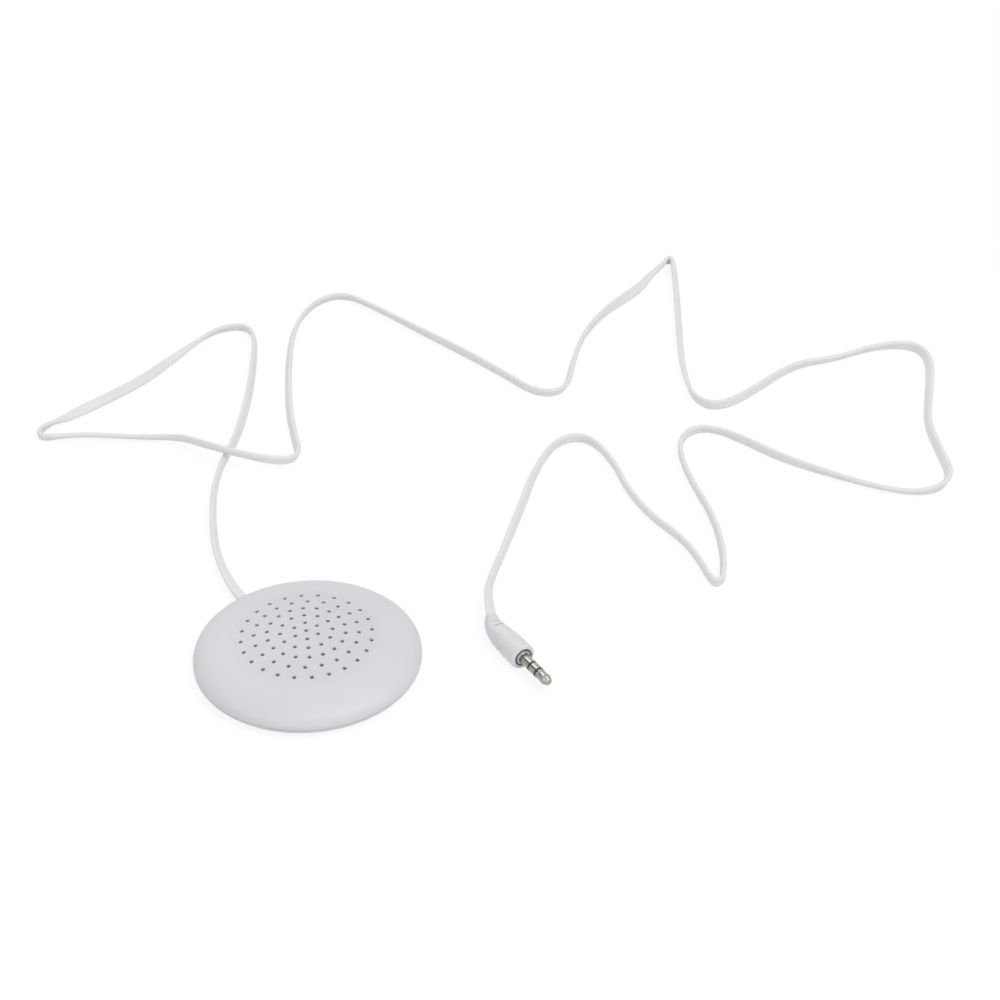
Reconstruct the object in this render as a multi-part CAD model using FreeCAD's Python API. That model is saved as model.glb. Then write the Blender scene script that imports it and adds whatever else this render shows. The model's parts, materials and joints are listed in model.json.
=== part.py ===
"""Pillow speaker: a flat round housing with a perforated domed cover, a thin
loudspeaker inside it, and a flat twin flex that ends in a 3.5 mm stereo plug.

Millimetres. The origin is the centre of the housing's flat base, +Z is up
through the grille, and everything lies on the plane z = 0.
"""
import FreeCAD, Part
import math
import os

V = FreeCAD.Vector
UP = V(0, 0, 1)

# Housing outline
housing_radius = 35.0        # widest, at the parting line
housing_height = 13.0        # top of the dome above the base
dome_radius = 102.5          # radius of the shallow dome that carries the grille
dome_edge_radius = 24.0      # where the dome turns into the shoulder
shoulder_fullness = 0.77     # how far the shoulder fills its corner, 0 flat to 1 square
seam_height = 3.2            # parting line between the two covers
base_setback = 5.0           # from the widest edge in to the flat that the speaker stands on
edge_fullness = 0.5523       # how far the back's rounded edge fills its corner
seam_chamfer = 0.15          # bevel of both covers along the parting line

# Walls of the two covers
cover_wall = 2.0
grille_wall = 1.2
rear_wall = 1.6
tongue_wall = 1.1
tongue_height = 1.4
tongue_clearance = 0.15

# Grille: rings of round holes about one centre hole
hole_radius = 0.65
grille_margin = 0.8          # from the outer ring of holes in to the gasket's seat
ring_counts = (6, 12, 18, 20, 24)
ring_start_angles = (98.0, 98.0, 98.0, 92.0, 98.0)

# Loudspeaker
driver_radius = 22.5
driver_pocket_clearance = 0.2
driver_pocket_wall = 1.2
driver_seat_height = 8.0     # underside of the ring that the gasket presses on
driver_seat_width = 1.9
gasket_thickness = 0.5
gasket_margin = 0.1
flange_thickness = 0.9
flange_width = 2.2
basket_depth = 2.8           # from the flange's back to the basket floor's back
basket_floor_thickness = 0.8
basket_floor_setback = 4.7   # floor's edge, in from the flange's edge
basket_wall = 0.5
basket_wall_lean = 2.5
vent_count = 6
vent_span = 28.0             # degrees
vent_offset = 30.0           # from the cord's exit
vent_margin = 1.6            # from a vent to the yoke and to the basket's edge
diaphragm_thickness = 0.25
diaphragm_rim_inset = 1.1    # film's edge, in from the flange's edge
diaphragm_rim_width = 1.7
surround_rise = 0.95
dome_rise = 1.25
crease_drop = 0.3
yoke_radius = 10.0
yoke_wall = 1.0
yoke_depth = 4.0
yoke_overhang = 1.6          # how far the yoke hangs below the basket floor
magnet_radius = 7.6
magnet_thickness = 2.0
top_plate_radius = 7.9
top_plate_thickness = 1.0
coil_gap = 0.25
former_thickness = 0.15
coil_thickness = 0.45
coil_height = 1.4
coil_overlap = 0.2           # how far the winding stands above the top plate
press_fit_gap = 0.02

# Cloth and felt
cloth_thickness = 0.3
cloth_margin = 0.5
glue_line = 0.05
vent_cloth_margin = 0.5

# Driver screws, with washer heads that clamp the flange
driver_screw_count = 3
driver_screw_offset = 90.0   # from the cord's exit
driver_screw_margin = 2.1    # screw circle, out from the flange's edge
driver_screw_radius = 0.8
driver_screw_length = 2.2
driver_screw_head_radius = 2.6
driver_screw_head_height = 0.7
driver_boss_radius = 1.9

# Cover screws, in wells in the base
cover_screw_count = 3
cover_screw_offset = 60.0
cover_screw_shift = 0.25     # screw circle, in from the middle of the room beside the driver
cover_screw_radius = 1.0
cover_screw_head_radius = 1.9
cover_screw_head_height = 1.2
cover_screw_length = 4.8
cover_post_radius = 2.5
well_clearance = 0.3
well_depth = 1.5
well_floor = 1.0
well_boss_wall = 1.0
thread_clearance = 0.05
screw_play = 0.2
head_bevel = 0.3             # round the edge of each screw head
cut_overrun = 1.0            # how far a cut reaches past what it cuts

# Cord where it leaves the housing. It is a flat twin flex, drawn as a round
# tube of about the same section, and its way out takes the real width.
cord_radius = 1.2
flex_width = 3.6
exit_azimuth = 128.0
exit_bore_clearance = 0.1
cord_tail = 1.0              # stripped end, in from the clamp
exit_straight = 1.8          # from the housing to the first bend
cord_on_floor = 0.05
bend_share = 0.45            # of a straight run, taken by the bend at each of its ends

# Cord clamp
saddle_setback = 9.0         # inner end, in from the housing's widest edge
saddle_length = 4.0
saddle_width = 10.6
saddle_gap = 0.3
groove_clearance = 0.05
clamp_thickness = 1.3
clamp_bevel = 0.3
clamp_screw_wall = 0.75      # between the flex's groove and a screw
clamp_screw_radius = 0.75
clamp_screw_length = 2.6
clamp_screw_head_radius = 1.5
clamp_screw_head_height = 0.8

# Terminal board and the two cores of the cord
board_width = 7.0
board_length = 5.5
board_thickness = 0.8
board_margin = 0.4
solder_spacing = 3.8
solder_radius = 1.0
solder_tip_radius = 0.7
solder_height = 0.9
solder_inset = 4.0           # from the board's inner end
lead_radius = 0.4
lead_spacing = 1.0
lead_straight = 2.6          # stretch that each core runs straight at its two ends

# Plug body: a soft overmould whose neck bends towards the cord
plug_face = V(65.95, -3.3, 0)
plug_azimuth = -57.9
plug_radius = 4.15
plug_parallel_length = 5.0
plug_body_length = 12.5      # to where the neck begins
plug_shoulder_radius = 3.72
plug_edge_radius = 0.9
neck_length = 9.6
neck_bend = 27.0
neck_bulge = 0.12
neck_end_radius = 2.1
neck_steps = 8
slot_places = (1.9, 4.2)
slot_width = 0.6
slot_core_radius = 2.75
socket_radius = 3.0          # recess in the face round the metal collar
socket_depth = 0.9

# Metal of the 3.5 mm stereo plug, lengths measured back from the tip
jack_radius = 1.75
jack_reach = 14.0
tip_length = 5.4
nose_length = 1.1            # rounded end of the tip
nose_radius = 1.35           # where the rounded end turns into the cone
crest_length = 2.3           # widest place of the tip
waist_length = 3.9           # where the socket's spring snaps in
waist_radius = 1.5
flare_length = 5.0
flare_radius = 1.68
insulator_length = 0.8
ring_length = 2.7
insulator_hollow = 0.08      # how far the moulded rings sink between the metal ones
tip_rod_radius = 0.5
insulator_wall = 0.3
ring_tube_wall = 0.3
tube_step = 1.0              # each insulating tube ends this far short of what it lines
collar_radius = 2.4
collar_nose_radius = 1.95    # the collar narrows to this in front of the face
collar_proud = 0.4
crimp_radius = 2.1
sleeve_tail = 4.5
ring_tail = 6.5
tip_tail = 8.5
mould_radius = 2.9
mould_length = 11.0

# Route of the cord on the table, chosen along the curves that it lies in. It
# crosses over its own first stretch on a low hump, and folds back three times.
floor_level = cord_radius + cord_on_floor
exit_foot = 2.0
hump_foot = 1.8
hump_top = 4.3
route_on_floor = [
    V(-27.6, 39.9, exit_foot), V(-32.6, 54.9, floor_level), V(-35.6, 69.5, floor_level),
    V(-37.5, 88.0, floor_level),
    V(-36.0, 106.0, floor_level), V(-32.0, 123.0, floor_level), V(-29.6, 150.0, floor_level),
    V(-30.0, 171.5, floor_level), V(-32.0, 189.0, floor_level), V(-36.0, 197.2, floor_level),
    V(-44.4, 198.4, floor_level), V(-51.0, 191.5, floor_level), V(-60.0, 177.8, floor_level),
    V(-69.5, 160.0, floor_level), V(-86.0, 142.8, floor_level), V(-95.5, 135.6, floor_level),
    V(-101.0, 130.2, floor_level), V(-102.0, 125.6, floor_level), V(-98.6, 123.2, floor_level),
    V(-92.4, 124.9, floor_level), V(-82.0, 125.9, floor_level), V(-64.5, 124.3, floor_level),
    V(-49.8, 123.6, hump_foot), V(-40.6, 114.4, hump_top),
    V(-27.9, 107.4, hump_top), V(-18.2, 106.9, hump_foot),
    V(-12.2, 107.5, floor_level), V(-8.1, 111.3, floor_level), V(-10.6, 121.5, floor_level),
    V(-14.3, 140.5, floor_level), V(-17.2, 168.5, floor_level), V(-17.0, 193.0, floor_level),
    V(-12.5, 209.5, floor_level), V(-5.6, 218.6, floor_level), V(2.6, 220.6, floor_level),
    V(12.5, 212.0, floor_level), V(29.4, 194.6, floor_level), V(47.0, 178.5, floor_level),
    V(61.5, 161.5, floor_level), V(70.8, 149.4, floor_level), V(78.9, 147.7, floor_level),
    V(85.5, 152.6, floor_level), V(87.0, 165.0, floor_level), V(90.8, 186.0, floor_level),
    V(99.0, 204.5, floor_level), V(110.8, 218.0, floor_level), V(117.2, 231.8, floor_level),
    V(122.4, 239.8, floor_level), V(124.5, 245.0, floor_level), V(127.2, 245.8, floor_level),
    V(129.5, 244.0, floor_level), V(129.4, 238.6, floor_level), V(128.6, 228.4, floor_level),
    V(128.2, 209.5, floor_level), V(125.8, 172.5, floor_level), V(127.0, 154.0, floor_level),
    V(128.6, 144.2, floor_level), V(134.0, 139.2, floor_level), V(141.2, 139.8, floor_level),
    V(149.8, 148.9, floor_level), V(167.0, 168.0, floor_level), V(181.0, 170.6, floor_level),
    V(196.0, 179.0, floor_level), V(207.4, 181.0, floor_level), V(215.0, 176.2, floor_level),
    V(216.6, 165.0, floor_level), V(211.6, 143.5, floor_level), V(209.0, 127.0, floor_level),
    V(210.6, 109.5, floor_level), V(212.8, 94.8, floor_level), V(206.8, 87.2, floor_level),
    V(196.5, 85.2, floor_level), V(180.0, 92.0, floor_level), V(158.0, 106.5, floor_level),
    V(143.5, 120.0, floor_level), V(133.6, 126.8, floor_level), V(125.8, 126.6, floor_level),
    V(121.0, 120.2, floor_level), V(121.2, 108.0, floor_level), V(124.0, 91.0, floor_level),
    V(128.6, 76.0, floor_level), V(131.2, 62.0, floor_level), V(132.0, 50.0, floor_level),
    V(131.7, 42.2, floor_level), V(131.0, 35.2, floor_level), V(126.7, 34.7, floor_level),
    V(124.8, 39.9, floor_level), V(122.6, 48.8, floor_level), V(117.5, 59.5, floor_level),
    V(108.5, 73.0, floor_level), V(102.8, 88.5, floor_level), V(99.2, 104.0, floor_level),
    V(94.6, 115.0, floor_level), V(89.5, 121.0, floor_level), V(81.3, 120.8, floor_level),
    V(75.8, 113.6, floor_level), V(69.8, 97.0, floor_level), V(66.8, 82.5, floor_level),
    V(60.3, 56.5, floor_level), V(56.0, 40.0, floor_level),
]
neck_approach = V(55.2, 30.5, 2.8)
last_run = 4.5

# Heights and places that follow from the sizes above
base_radius = housing_radius - base_setback
dome_centre_z = housing_height - dome_radius
flange_top = driver_seat_height - gasket_thickness
flange_back = flange_top - flange_thickness
basket_back = flange_back - basket_depth
basket_floor_radius = driver_radius - basket_floor_setback
basket_floor_top = basket_back + basket_floor_thickness
yoke_bottom = basket_back - yoke_overhang
yoke_inner_radius = yoke_radius - yoke_wall
vent_inner_radius = yoke_radius + vent_margin
vent_outer_radius = basket_floor_radius - vent_margin
magnet_bottom = yoke_bottom + yoke_wall
magnet_top = magnet_bottom + magnet_thickness
top_plate_top = magnet_top + top_plate_thickness
former_inner_radius = top_plate_radius + coil_gap
former_outer_radius = former_inner_radius + former_thickness
pocket_inner_radius = driver_radius + driver_pocket_clearance
pocket_outer_radius = pocket_inner_radius + driver_pocket_wall
seat_inner_radius = pocket_inner_radius - driver_seat_width
ring_pitch = (seat_inner_radius - grille_margin) / len(ring_counts)
driver_screw_circle = driver_radius + driver_screw_margin
room_outer_radius = housing_radius - cover_wall
cover_screw_circle = (pocket_inner_radius + room_outer_radius) / 2 - cover_screw_shift
diaphragm_rim_outer = driver_radius - diaphragm_rim_inset
diaphragm_rim_inner = diaphragm_rim_outer - diaphragm_rim_width
diaphragm_floor = flange_top - diaphragm_thickness
crease_radius = (former_inner_radius + former_outer_radius) / 2
crease_height = diaphragm_floor - crease_drop
tongue_outer_radius = housing_radius - cover_wall - tongue_clearance
tongue_inner_radius = tongue_outer_radius - tongue_wall
cord_height = seam_height
exit_bore_radius = flex_width / 2 + exit_bore_clearance
saddle_inner = housing_radius - saddle_setback
saddle_centre = saddle_inner + saddle_length / 2
cord_inner_end = saddle_inner - cord_tail
cord_first_bend = housing_radius + exit_straight
groove_half_width = flex_width / 2 + groove_clearance
groove_half_height = cord_radius + groove_clearance
clamp_screw_offset = groove_half_width + clamp_screw_wall + clamp_screw_radius + thread_clearance
clamp_bottom = cord_height + saddle_gap
clamp_top = clamp_bottom + clamp_thickness
board_inner = yoke_radius + vent_margin
board_bottom = basket_back - board_thickness
solder_distance = board_inner + solder_inset


def polar(radius, azimuth, z=0.0):
    """A point at a radius and an azimuth in degrees."""
    angle = math.radians(azimuth)
    return V(radius * math.cos(angle), radius * math.sin(angle), z)


def rz(radius, z):
    """A point of a profile that turns about the Z axis."""
    return V(radius, 0, z)


def line(a, b):
    return Part.LineSegment(a, b).toShape()


def arc(a, middle, b):
    return Part.Arc(a, middle, b).toShape()


def bezier(poles):
    curve = Part.BezierCurve()
    curve.setPoles(poles)
    return curve.toShape()


def polyline(points):
    return [line(a, b) for a, b in zip(points, points[1:])]


def revolve(edges, axis=UP):
    """The solid that a closed profile sweeps round an axis through the origin."""
    face = Part.Face(Part.Wire(Part.__sortEdges__(edges)))
    return face.revolve(V(0, 0, 0), axis, 360)


def ring(inner, outer, bottom, top):
    """A flat ring or, with no inner radius, a disc."""
    body = Part.makeCylinder(outer, top - bottom, V(0, 0, bottom))
    if inner > 0:
        body = body.cut(Part.makeCylinder(inner, top - bottom, V(0, 0, bottom)))
    return body


def round_bar(radius, start, end):
    """A cylinder between two points."""
    run = end - start
    return Part.makeCylinder(radius, run.Length, start, run)


def at_azimuth(shape, azimuth):
    """Turn a shape, built along +X, to an azimuth."""
    turned = shape.copy()
    turned.rotate(V(0, 0, 0), UP, azimuth)
    return turned


def spaced(count, offset):
    """Azimuths of evenly spaced things, counted from the cord's exit."""
    return [exit_azimuth + offset + 360.0 * i / count for i in range(count)]


def sphere_height(inset, radius):
    """Height of the dome's surface, moved in by an inset, at a radius."""
    return dome_centre_z + math.sqrt((dome_radius - inset) ** 2 - radius ** 2)


def cover_outline(inset, bottom):
    """Filled revolve of the cover's outer shape, moved in by an inset."""
    slope = math.asin(dome_edge_radius / dome_radius)
    edge_r = (dome_radius - inset) * math.sin(slope)
    edge = rz(edge_r, sphere_height(inset, edge_r))
    side_r = housing_radius - inset
    foot = rz(side_r, seam_height + seam_chamfer)
    corner = rz(side_r, edge.z - (side_r - edge.x) * math.tan(slope))
    pole_a = edge + (corner - edge) * shoulder_fullness
    pole_b = foot + (corner - foot) * shoulder_fullness
    top = rz(0, sphere_height(inset, 0))
    on_dome = rz(edge_r / 2, sphere_height(inset, edge_r / 2))
    edges = [arc(top, on_dome, edge), bezier([edge, pole_a, pole_b, foot])]
    edges += polyline([foot, rz(side_r, bottom), rz(0, bottom), top])
    return revolve(edges)


def grille_holes():
    """One cutter for each hole: a centre hole and five rings."""
    low = V(0, 0, driver_seat_height)
    tall = housing_height - driver_seat_height + cut_overrun
    cutters = [Part.makeCylinder(hole_radius, tall, low)]
    for index, (count, start) in enumerate(zip(ring_counts, ring_start_angles)):
        for step in range(count):
            place = polar(ring_pitch * (index + 1), start + 360.0 * step / count)
            cutters.append(Part.makeCylinder(hole_radius, tall, low + place))
    return Part.makeCompound(cutters)


def exit_bore():
    """The round way out for the cord, half in each cover."""
    start = polar(saddle_inner + saddle_length, exit_azimuth, cord_height)
    end = polar(housing_radius + cover_wall, exit_azimuth, cord_height)
    return round_bar(exit_bore_radius, start, end)


def exit_notch():
    """Gap in the tongue over the bore, so that the cord can be laid in."""
    wide = 2 * exit_bore_radius
    reach = housing_radius - tongue_inner_radius + cover_wall
    gap = Part.makeBox(
        reach, wide, 2 * tongue_height,
        V(tongue_inner_radius - cover_wall, -wide / 2, cord_height))
    return at_azimuth(gap, exit_azimuth)


def seam_bevel(side):
    """Ring that bevels a cover's edge along the parting line, side 1 or -1."""
    tip = rz(housing_radius + seam_chamfer, seam_height)
    high = rz(housing_radius + seam_chamfer, seam_height + 2 * side * seam_chamfer)
    inner = rz(housing_radius - seam_chamfer, seam_height)
    return revolve(polyline([tip, high, inner, tip]))


def front_cover():
    """Domed cover: thin perforated middle, driver pocket, posts and bosses."""
    cover = cover_outline(0, seam_height).cut(cover_outline(cover_wall, seam_height))
    inside = cover_outline(cover_wall / 2, seam_height)
    pocket = ring(seat_inner_radius, pocket_outer_radius, flange_back, housing_height)
    parts = [pocket]
    for azimuth in spaced(driver_screw_count, driver_screw_offset):
        foot = polar(driver_screw_circle, azimuth, flange_back)
        tall = housing_height - flange_back
        parts.append(Part.makeCylinder(driver_boss_radius, tall, foot))
    for azimuth in spaced(cover_screw_count, cover_screw_offset):
        foot = polar(cover_screw_circle, azimuth, well_depth + well_floor)
        tall = housing_height - foot.z
        parts.append(Part.makeCylinder(cover_post_radius, tall, foot))
    ribs = parts[0].multiFuse(parts[1:])
    deep = Part.makeCylinder(housing_radius, seam_height, V(0, 0, 0))
    cover = cover.fuse(ribs.common(inside.fuse(deep)))
    cover = cover.cut(ring(0, pocket_inner_radius, 0, driver_seat_height))
    cover = cover.cut(grille_recess())
    cutters = [exit_bore(), seam_bevel(1)]
    for azimuth in spaced(driver_screw_count, driver_screw_offset):
        foot = polar(driver_screw_circle, azimuth, flange_back)
        bore = driver_screw_radius + thread_clearance
        deep = driver_screw_length + screw_play
        cutters.append(Part.makeCylinder(bore, deep, foot))
    for azimuth in spaced(cover_screw_count, cover_screw_offset):
        foot = polar(cover_screw_circle, azimuth, well_depth)
        bore = cover_screw_radius + thread_clearance
        deep = cover_screw_length + screw_play
        cutters.append(Part.makeCylinder(bore, deep, foot))
    return cover.cut(Part.makeCompound(cutters)).cut(grille_holes())


def grille_recess():
    """Space under the thin middle of the dome, inside the gasket's seat."""
    edge = rz(seat_inner_radius, sphere_height(grille_wall, seat_inner_radius))
    middle = rz(seat_inner_radius / 2, sphere_height(grille_wall, seat_inner_radius / 2))
    top = rz(0, sphere_height(grille_wall, 0))
    edges = [arc(top, middle, edge)]
    edges += polyline([edge, rz(seat_inner_radius, flange_back), rz(0, flange_back), top])
    return revolve(edges)


def rear_cover():
    """Flat back with a rounded edge, a tongue, screw wells and the cord saddle."""
    foot = rz(housing_radius, seam_height)
    base = rz(base_radius, 0)
    pole_a = rz(housing_radius, seam_height * (1 - edge_fullness))
    pole_b = rz(base_radius + base_setback * (1 - edge_fullness), 0)
    edges = [bezier([foot, pole_a, pole_b, base])]
    tongue_top = seam_height + tongue_height
    inner = [base, rz(0, 0), rz(0, rear_wall), rz(tongue_inner_radius, rear_wall)]
    inner += [rz(tongue_inner_radius, seam_height), foot]
    cover = revolve(edges + polyline(inner))
    tongue = ring(tongue_inner_radius, tongue_outer_radius, rear_wall, tongue_top)
    room = cover_outline(cover_wall + tongue_clearance, rear_wall)
    cover = cover.fuse(tongue.common(room))
    bosses = [saddle_block()]
    for azimuth in spaced(cover_screw_count, cover_screw_offset):
        foot = polar(cover_screw_circle, azimuth, rear_wall / 2)
        wide = cover_screw_head_radius + well_clearance + well_boss_wall
        tall = well_depth + well_floor - foot.z
        bosses.append(Part.makeCylinder(wide, tall, foot))
    cover = cover.multiFuse(bosses)
    cutters = [exit_bore(), exit_notch(), seam_bevel(-1), saddle_groove()]
    for azimuth in spaced(cover_screw_count, cover_screw_offset):
        foot = polar(cover_screw_circle, azimuth)
        well = cover_screw_head_radius + well_clearance
        cutters.append(Part.makeCylinder(well, well_depth, foot))
        clear = cover_screw_radius + screw_play
        cutters.append(Part.makeCylinder(clear, well_depth + well_floor, foot))
    for side in (-1, 1):
        cutters.append(clamp_bore(side))
    return cover.cut(Part.makeCompound(cutters))


def cover_screws():
    """Pan head screws in the wells of the base."""
    screws = []
    for azimuth in spaced(cover_screw_count, cover_screw_offset):
        seat = polar(cover_screw_circle, azimuth, well_depth)
        head = Part.makeCylinder(
            cover_screw_head_radius, cover_screw_head_height, seat, UP * -1)
        head = head.makeChamfer(head_bevel, [ring_edge(head, -1)])
        shank = Part.makeCylinder(cover_screw_radius, cover_screw_length, seat)
        screws.append(head.fuse(shank))
    return Part.makeCompound(screws)


def ring_edge(shape, side):
    """The lowest (side -1) or highest (side 1) round edge of a cylinder."""
    rounds = [e for e in shape.Edges if isinstance(e.Curve, Part.Circle)]
    return max(rounds, key=lambda e: side * e.CenterOfMass.z)


def driver_screws():
    """Washer head screws that hold the driver's flange from behind."""
    screws = []
    for azimuth in spaced(driver_screw_count, driver_screw_offset):
        seat = polar(driver_screw_circle, azimuth, flange_back)
        head = Part.makeCylinder(
            driver_screw_head_radius, driver_screw_head_height, seat, UP * -1)
        head = head.makeChamfer(head_bevel, [ring_edge(head, -1)])
        shank = Part.makeCylinder(driver_screw_radius, driver_screw_length, seat)
        screws.append(head.fuse(shank))
    return Part.makeCompound(screws)


def saddle_block():
    """Block on the back cover that the cord is clamped down on."""
    low = rear_wall / 2
    block = Part.makeBox(
        saddle_length, saddle_width, cord_height - low,
        V(saddle_inner, -saddle_width / 2, low))
    return at_azimuth(block, exit_azimuth)


def saddle_groove():
    """Channel with round sides for the flex, through the saddle and under the clamp."""
    high = groove_half_height
    flat = groove_half_width - high
    start = saddle_inner - cord_tail
    low_left = V(start, -flat, cord_height - high)
    low_right = V(start, flat, cord_height - high)
    top_right = V(start, flat, cord_height + high)
    top_left = V(start, -flat, cord_height + high)
    right = V(start, groove_half_width, cord_height)
    left = V(start, -groove_half_width, cord_height)
    edges = [line(low_left, low_right), arc(low_right, right, top_right)]
    edges += [line(top_right, top_left), arc(top_left, left, low_left)]
    channel = Part.Face(Part.Wire(edges)).extrude(V(cord_tail + saddle_length, 0, 0))
    return at_azimuth(channel, exit_azimuth)


def clamp_screw_place(side, z):
    """Axis of one clamp screw, beside the cord."""
    place = V(saddle_centre, side * clamp_screw_offset, z)
    return FreeCAD.Rotation(UP, exit_azimuth).multVec(place)


def clamp_bore(side):
    deep = clamp_screw_length + screw_play - clamp_thickness
    foot = clamp_screw_place(side, clamp_bottom - deep)
    return Part.makeCylinder(clamp_screw_radius + thread_clearance, deep, foot)


def cord_clamp():
    """Small bridge that two screws press on to the cord."""
    bridge = Part.makeBox(
        saddle_length, saddle_width, clamp_thickness,
        V(saddle_inner, -saddle_width / 2, clamp_bottom))
    bridge = at_azimuth(bridge.makeChamfer(clamp_bevel, top_edges(bridge)), exit_azimuth)
    bridge = bridge.cut(saddle_groove())
    for side in (-1, 1):
        foot = clamp_screw_place(side, clamp_bottom)
        clear = clamp_screw_radius + thread_clearance
        bridge = bridge.cut(Part.makeCylinder(clear, clamp_thickness, foot))
    return bridge


def top_edges(shape):
    """Edges that lie in the top face of a box."""
    top = shape.BoundBox.ZMax
    return [e for e in shape.Edges if abs(e.BoundBox.ZMin - top) < 1e-6]


def clamp_screws():
    screws = []
    for side in (-1, 1):
        seat = clamp_screw_place(side, clamp_top)
        head = Part.makeCylinder(clamp_screw_head_radius, clamp_screw_head_height, seat)
        head = head.makeChamfer(head_bevel, [ring_edge(head, 1)])
        shank = Part.makeCylinder(clamp_screw_radius, clamp_screw_length, seat, UP * -1)
        screws.append(head.fuse(shank))
    return Part.makeCompound(screws)


def grille_cloth():
    """Dust cloth glued under the holes, following the dome."""
    outer = seat_inner_radius - cloth_margin
    high = grille_wall + glue_line
    low = high + cloth_thickness
    edges = []
    for inset in (high, low):
        ends = [rz(r, sphere_height(inset, r)) for r in (0, outer / 2, outer)]
        edges.append(arc(*ends))
    edges.append(line(rz(0, sphere_height(high, 0)), rz(0, sphere_height(low, 0))))
    edges.append(line(rz(outer, sphere_height(high, outer)), rz(outer, sphere_height(low, outer))))
    return revolve(edges)


def driver_gasket():
    inner = seat_inner_radius + gasket_margin
    return ring(inner, driver_radius - gasket_margin, flange_top, driver_seat_height)


def driver_frame():
    """Pressed basket: flange, leaning wall and a vented floor round the yoke."""
    hub = yoke_radius + press_fit_gap
    wall_foot = basket_floor_radius
    wall_head = wall_foot + basket_wall_lean
    points = [
        rz(driver_radius, flange_back), rz(driver_radius, flange_top),
        rz(diaphragm_rim_outer + glue_line, flange_top),
        rz(diaphragm_rim_outer + glue_line, diaphragm_floor),
        rz(diaphragm_rim_inner, diaphragm_floor),
        rz(wall_foot - basket_wall, basket_floor_top), rz(hub, basket_floor_top),
        rz(hub, basket_back), rz(wall_foot, basket_back),
        rz(wall_head, flange_back), rz(driver_radius, flange_back),
    ]
    frame = revolve(polyline(points))
    return frame.cut(Part.makeCompound([vent(a) for a in spaced(vent_count, vent_offset)]))


def vent(azimuth):
    """Arc-shaped slot through the basket floor."""
    tall = basket_floor_thickness + 2 * cut_overrun
    low = V(0, 0, basket_back - cut_overrun)
    outer = Part.makeCylinder(vent_outer_radius, tall, low, UP, vent_span)
    slot = outer.cut(Part.makeCylinder(vent_inner_radius, tall, low))
    return at_azimuth(slot, azimuth - vent_span / 2)


def driver_diaphragm():
    """Thin moulded film: glued rim, arched surround and centre dome.

    A shallow dome has three quarters of its rise at half its radius.
    """
    rim_out = diaphragm_rim_outer
    rim_in = diaphragm_rim_inner
    mid = (rim_in + crease_radius) / 2
    crest = (diaphragm_floor + crease_height) / 2 + surround_rise
    top = crease_height + dome_rise
    near = crease_radius / 2
    dome_mid = crease_height + dome_rise * 0.75
    edges = []
    for lift in (0, diaphragm_thickness):
        shift = V(0, 0, lift)
        edges.append(arc(rz(0, top) + shift, rz(near, dome_mid) + shift,
                         rz(crease_radius, crease_height) + shift))
        edges.append(arc(rz(crease_radius, crease_height) + shift, rz(mid, crest) + shift,
                         rz(rim_in, diaphragm_floor) + shift))
        edges.append(line(rz(rim_in, diaphragm_floor) + shift, rz(rim_out, diaphragm_floor) + shift))
    edges.append(line(rz(0, top), rz(0, top + diaphragm_thickness)))
    edges.append(line(rz(rim_out, diaphragm_floor), rz(rim_out, flange_top)))
    return revolve(edges)


def voice_coil_former():
    low = top_plate_top - coil_height
    return ring(former_inner_radius, former_outer_radius, low, crease_height)


def voice_coil():
    top = top_plate_top + coil_overlap
    return ring(former_outer_radius, former_outer_radius + coil_thickness, top - coil_height, top)


def driver_yoke():
    """Steel cup that carries the flux round the magnet."""
    cup = ring(0, yoke_radius, yoke_bottom, yoke_bottom + yoke_depth)
    return cup.cut(ring(0, yoke_inner_radius, magnet_bottom, yoke_bottom + yoke_depth))


def vent_cloth():
    """Felt ring over the vents, with a gap for the terminal board."""
    felt = ring(
        yoke_radius + vent_cloth_margin, basket_floor_radius - vent_cloth_margin,
        basket_back - cloth_thickness, basket_back)
    wide = board_width + 2 * board_margin
    reach = basket_floor_radius - board_inner + board_margin
    gap = Part.makeBox(
        reach, wide, cloth_thickness + cut_overrun,
        V(board_inner - board_margin, -wide / 2, basket_back - cloth_thickness))
    return felt.cut(at_azimuth(gap, exit_azimuth))


def terminal_board():
    board = Part.makeBox(
        board_length, board_width, board_thickness,
        V(board_inner, -board_width / 2, board_bottom))
    return at_azimuth(board, exit_azimuth)


def tube_along(points, radius):
    """Round tube on straight runs joined by arcs, with its length and bend radii."""
    edges = []
    bends = []
    start = points[0]
    length = 0.0
    for before, corner, after in zip(points, points[1:], points[2:]):
        into = corner - before
        out = after - corner
        half = into.getAngle(out) / 2
        cut = bend_share * min(into.Length, out.Length)
        into.normalize()
        out.normalize()
        bend = cut / math.tan(half)
        arc_start = corner - into * cut
        arc_end = corner + out * cut
        inward = out - into
        inward.normalize()
        sagitta = bend / math.cos(half) - bend
        edges.append(line(start, arc_start))
        edges.append(arc(arc_start, corner + inward * sagitta, arc_end))
        length += (arc_start - start).Length + 2 * half * bend
        bends.append(bend)
        start = arc_end
    edges.append(line(start, points[-1]))
    length += (points[-1] - start).Length
    path = Part.Wire(edges)
    section = Part.Wire(Part.Circle(points[0], points[1] - points[0], radius).toShape())
    tube = path.makePipeShell([section], True, False)
    return tube, length, bends


def core_points(side):
    """Route of one core from the cord's end to its solder joint."""
    level = board_bottom - lead_radius - press_fit_gap
    route = [
        V(cord_inner_end, side * lead_spacing / 2, cord_height),
        V(cord_inner_end - lead_straight, side * lead_spacing / 2, cord_height),
        V(solder_distance + lead_straight, side * solder_spacing / 2, level),
        V(solder_distance, side * solder_spacing / 2, level),
    ]
    turn = FreeCAD.Rotation(UP, exit_azimuth)
    return [turn.multVec(point) for point in route]


def lead(side):
    return tube_along(core_points(side), lead_radius)[0]


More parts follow.
